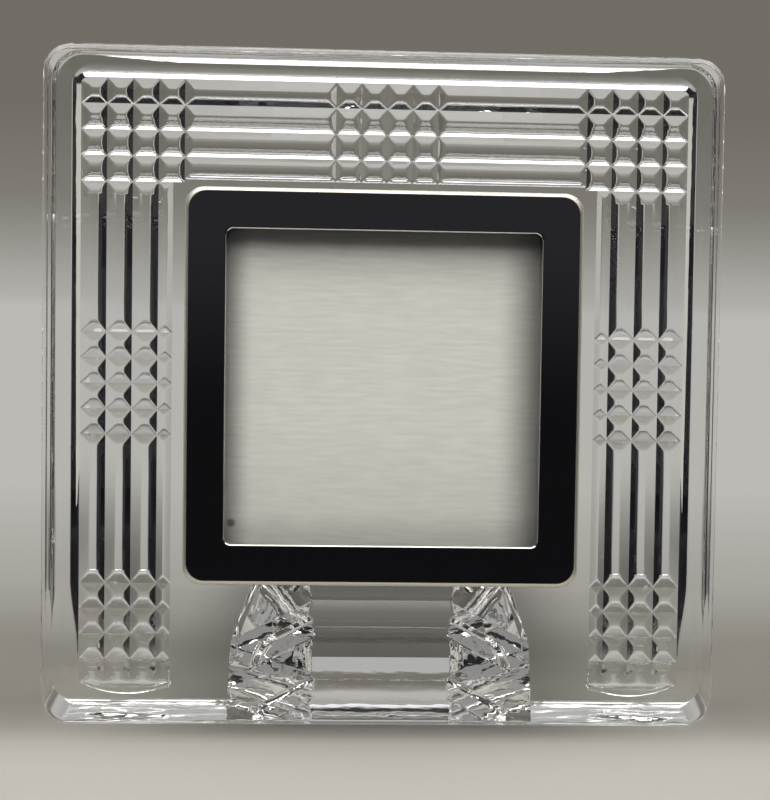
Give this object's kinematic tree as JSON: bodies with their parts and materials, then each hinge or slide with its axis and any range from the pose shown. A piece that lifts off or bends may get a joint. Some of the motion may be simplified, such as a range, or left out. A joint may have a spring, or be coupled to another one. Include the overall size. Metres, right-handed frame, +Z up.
{
  "type": "crystal picture frame",
  "caption": "Leaning square slab of pressed crystal with reeded and diamond-cut bands, a crystal rear foot and a polished metal insert that holds a small square picture.",
  "frame": {"origin": "on the table, under the middle of the whole frame's box", "axes": "+X to the viewer's right along the slab, +Y from the front to the back, +Z up"},
  "size_m": [0.1104, 0.0438, 0.1093],
  "materials": {
    "crystal": "clear fire-polished lead crystal",
    "plated_metal": "mirror-polished plate",
    "silicone": "translucent silicone",
    "glazing": "clear float glass",
    "photo_paper": "matte off-white paper with a faint laid grain",
    "white_card": "matte white card",
    "kraft_board": "corrugated kraft board",
    "hardboard": "pressed fibre board",
    "velvet": "short dark velvet pile",
    "ribbon": "dark ribbed ribbon"
  },
  "bodies": {
    "crystal_frame": {"crystal_body": "crystal", "bezel": "plated_metal", "sleeve": "plated_metal", "bond_strip_top": "silicone", "bond_strip_left": "silicone", "bond_strip_bottom": "silicone", "bond_strip_right": "silicone"},
    "back_panel": {"back_board": "hardboard", "back_velvet": "velvet", "pull_ribbon": "ribbon"},
    "filler": {"filler_board": "kraft_board"},
    "backing": {"backing_card": "white_card"},
    "picture": {"photo_card": "photo_paper"},
    "glazing": {"glazing_pane": "glazing"}
  },
  "joints": [
    {"name": "back_panel_out", "type": "slide", "parent": "crystal_frame", "child": "back_panel", "axis": [0, 0.9914, -0.1305], "range_m": [0, 0.06]},
    {"name": "filler_out", "type": "slide", "parent": "crystal_frame", "child": "filler", "axis": [0, 0.9914, -0.1305], "range_m": [0, 0.045]},
    {"name": "backing_out", "type": "slide", "parent": "crystal_frame", "child": "backing", "axis": [0, 0.9914, -0.1305], "range_m": [0, 0.036]},
    {"name": "picture_out", "type": "slide", "parent": "crystal_frame", "child": "picture", "axis": [0, 0.9914, -0.1305], "range_m": [0, 0.027]},
    {"name": "glazing_out", "type": "slide", "parent": "crystal_frame", "child": "glazing", "axis": [0, 0.9914, -0.1305], "range_m": [0, 0.018]}
  ],
  "couplings": [
    {"joint": "filler_out", "follows": "back_panel_out", "ratio": 0.75},
    {"joint": "backing_out", "follows": "back_panel_out", "ratio": 0.6},
    {"joint": "picture_out", "follows": "back_panel_out", "ratio": 0.45},
    {"joint": "glazing_out", "follows": "back_panel_out", "ratio": 0.3}
  ]
}
